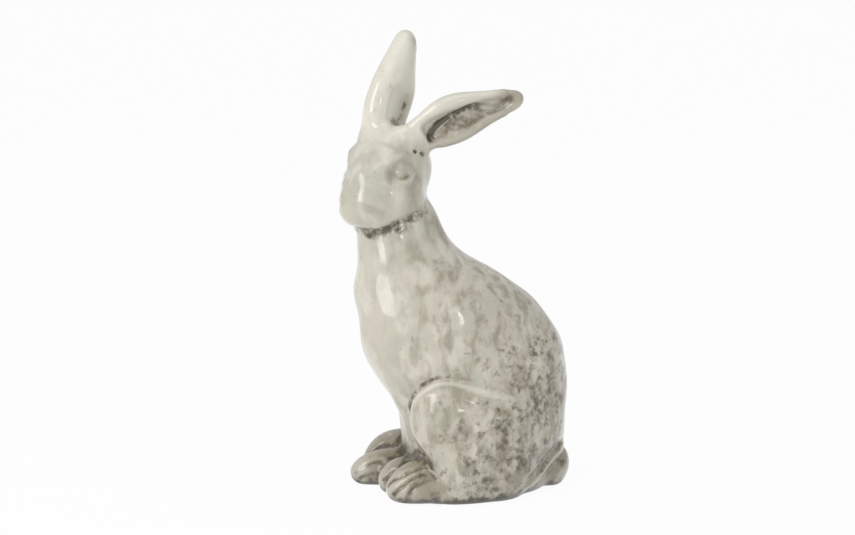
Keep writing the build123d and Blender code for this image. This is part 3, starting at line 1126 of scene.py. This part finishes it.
clusters = noise(0.013, detail=2.0)
dots = noise(0.0052, detail=3.0, roughness=0.6, twist=0.1)
grains = noise(0.0018, detail=2.0, roughness=0.6)
fleck_noise = plus(times(dots, 0.72), times(clusters, 0.28))
fleck_noise = plus(fleck_noise, sums("MULTIPLY_ADD", grains, 0.10, -0.05))
fleck_limit = sums("MULTIPLY_ADD", measure("flecks"), -0.16, 0.60)
spots = soft_step(fleck_noise, fleck_limit, plus(fleck_limit, 0.22))
colour = tint(colour, FLECK, times(spots, 0.92))
print("flecks added,", len(tree.nodes), "nodes")

# %% [markdown]
# The dark glaze in the hollows is broken by the same dots and grains: a brown
# stain round a nearly black middle. Then come the bare pale edges, the even
# wash, which is partly painted shade, and a ragged dark line where the foot
# stands on the table, which is partly the bare dark foot and partly painted
# contact shadow.

# %% Let the glaze pool, and paint shade in creases and at the foot
STAIN_AND_PAINTED_SHADE = (0.190, 0.158, 0.100)
POOL = (0.040, 0.030, 0.014)
EDGE = (0.700, 0.672, 0.585)
# painted shadow: the dark line at the foot is partly the bare dark foot and partly painted contact shadow
DARK_FOOT_AND_CONTACT_SHADOW = (0.060, 0.052, 0.038)
FOOT_SHADOW_TOP, FOOT_SHADOW_FULL = 0.0068, 0.0024  # metres above the table

broken = plus(times(dots, 4.0), sums("MULTIPLY_ADD", grains, 1.0, -1.5))
pool_edge = times(measure("pooling"), broken)
colour = tint(colour, STAIN_AND_PAINTED_SHADE, times(soft_step(pool_edge, 0.08, 0.62), 0.80))
colour = tint(colour, POOL, times(soft_step(pool_edge, 0.42, 1.05), 0.88))
colour = tint(colour, EDGE, times(measure("thinning"), 0.7))
# the wash: an even brown veil on the feet, and painted shade in the face and the upright ear
colour = tint(colour, STAIN_AND_PAINTED_SHADE, times(measure("wash_and_painted_shade"), 0.62))
height = tree.nodes.new("ShaderNodeSeparateXYZ")
link(place, height.inputs["Vector"])
ragged = plus(height.outputs["Z"], sums("MULTIPLY_ADD", dots, -0.010, 0.005))
colour = tint(colour, DARK_FOOT_AND_CONTACT_SHADOW, times(soft_step(ragged, FOOT_SHADOW_TOP, FOOT_SHADOW_FULL), 0.9))
link(colour, shader.inputs["Base Color"])
print("pools and edges added,", len(tree.nodes), "nodes")

# %% [markdown]
# Glaze is never quite level, so a faint ripple bends the reflections. With it
# the glaze is complete and goes on every piece.

# %% Glaze the pieces
ripple = tree.nodes.new("ShaderNodeBump")
ripple.inputs["Strength"].default_value = 0.12
ripple.inputs["Distance"].default_value = 0.0006
link(noise(0.006, detail=2.0), ripple.inputs["Height"])
link(ripple.outputs["Normal"], shader.inputs["Normal"])
for piece in pieces:
    piece.data.materials.append(glaze)
print("glaze on", len(pieces), "pieces,", len(tree.nodes), "nodes")

# %% [markdown]
# ## Floor and light
#
# The figure stands on a plain pale floor, which belongs to the stage and not to
# the figure.

# %% Lay the floor
FLOOR_SIZE = 16.0  # metres

bpy.ops.mesh.primitive_plane_add(size=FLOOR_SIZE, location=(0, 0, 0))
floor = bpy.context.object
floor.name = "floor"
print("floor", FLOOR_SIZE, "m wide")

# %% [markdown]
# A brighter lamp could make the floor white, but it would bleach the figure too.
# The floor's material looks at the kind of ray instead. To the camera and in
# reflections it is mostly plain white, and a part of it stays a real surface,
# which keeps the shadow.

# %% Whiten the floor
WHITE_SHARE = 0.95  # of the floor's look that is plain white


def seen_directly(nodes, links):
    """1 for camera, mirror and glass rays, 0 for all others."""
    rays = nodes.new("ShaderNodeLightPath")
    total = rays.outputs["Is Camera Ray"]
    for name in ("Is Glossy Ray", "Is Transmission Ray"):
        step = nodes.new("ShaderNodeMath")
        step.operation = "MAXIMUM"
        links.new(total, step.inputs[0])
        links.new(rays.outputs[name], step.inputs[1])
        total = step.outputs["Value"]
    return total


paper = bpy.data.materials.new("pale_floor")
paper.use_nodes = True
nodes, links = paper.node_tree.nodes, paper.node_tree.links
surface = nodes["Principled BSDF"]
surface.inputs["Base Color"].default_value = (0.86, 0.86, 0.85, 1.0)
surface.inputs["Roughness"].default_value = 0.9
white = nodes.new("ShaderNodeEmission")
white.inputs["Color"].default_value = (1.0, 1.0, 1.0, 1.0)
white.inputs["Strength"].default_value = 1.0
share = nodes.new("ShaderNodeMath")
share.operation = "MULTIPLY"
share.inputs[1].default_value = WHITE_SHARE
links.new(seen_directly(nodes, links), share.inputs[0])
blend = nodes.new("ShaderNodeMixShader")
links.new(share.outputs["Value"], blend.inputs["Fac"])
links.new(surface.outputs["BSDF"], blend.inputs[1])
links.new(white.outputs["Emission"], blend.inputs[2])
links.new(blend.outputs["Shader"], nodes["Material Output"].inputs["Surface"])
floor.data.materials.append(paper)
print("floor", WHITE_SHARE, "white")

# %% [markdown]
# The sky works in a similar way. It is white to the camera only, and a soft grey
# to the figure, so the picture's background doesn't add light.

# %% Make the sky
SKY_LEVEL = 0.63

world = bpy.data.worlds.new("studio")
world.use_nodes = True
bpy.context.scene.world = world
nodes, links = world.node_tree.nodes, world.node_tree.links
sky = nodes["Background"]
sky.inputs["Color"].default_value = (1.0, 1.0, 1.0, 1.0)
sky.inputs["Strength"].default_value = SKY_LEVEL
backdrop = nodes.new("ShaderNodeBackground")
backdrop.inputs["Color"].default_value = (1.0, 1.0, 1.0, 1.0)
backdrop.inputs["Strength"].default_value = 1.0
choice = nodes.new("ShaderNodeMixShader")
rays = nodes.new("ShaderNodeLightPath")
links.new(rays.outputs["Is Camera Ray"], choice.inputs["Fac"])
links.new(sky.outputs["Background"], choice.inputs[1])
links.new(backdrop.outputs["Background"], choice.inputs[2])
links.new(choice.outputs["Shader"], nodes["World Output"].inputs["Surface"])
print("sky at", SKY_LEVEL)

# %% [markdown]
# Each softbox is an area lamp that is turned towards a point on the figure. The
# main light is a tall one in front of the rabbit's left shoulder: its long
# reflection runs down the nose and the chest. A small lamp beside the camera
# adds a few bright spots, and a broad box overhead brightens the ears and the
# brow.

# %% Set the lamps
def softbox(name, azimuth, height, distance, size, radiance, aim=(0.0, 0.0, 0.12)):
    """A rectangular lamp at an azimuth in degrees round the figure, turned to a point on it, in metres."""
    lamp = bpy.data.lights.new(name, "AREA")
    lamp.shape = "RECTANGLE"
    lamp.size, lamp.size_y = size
    lamp.energy = radiance * math.pi * size[0] * size[1]
    box = bpy.data.objects.new(name, lamp)
    turn = math.radians(azimuth)
    box.location = (distance * math.sin(turn), -distance * math.cos(turn), height)
    box.rotation_euler = (Vector(aim) - box.location).to_track_quat("-Z", "Y").to_euler()
    bpy.context.collection.objects.link(box)
    return box


lamps = (
    softbox("tall_softbox", azimuth=33.0, height=0.46, distance=1.0, size=(0.40, 0.95), radiance=3.4),
    softbox("small_lamp", azimuth=96.0, height=0.34, distance=1.2, size=(0.10, 0.14), radiance=8.0),
    softbox("overhead_box", azimuth=75.0, height=1.35, distance=0.55, size=(1.0, 1.0), radiance=1.0),
)
bpy.context.scene.view_settings.view_transform = "Standard"
print("lamps:", [lamp.name for lamp in lamps])
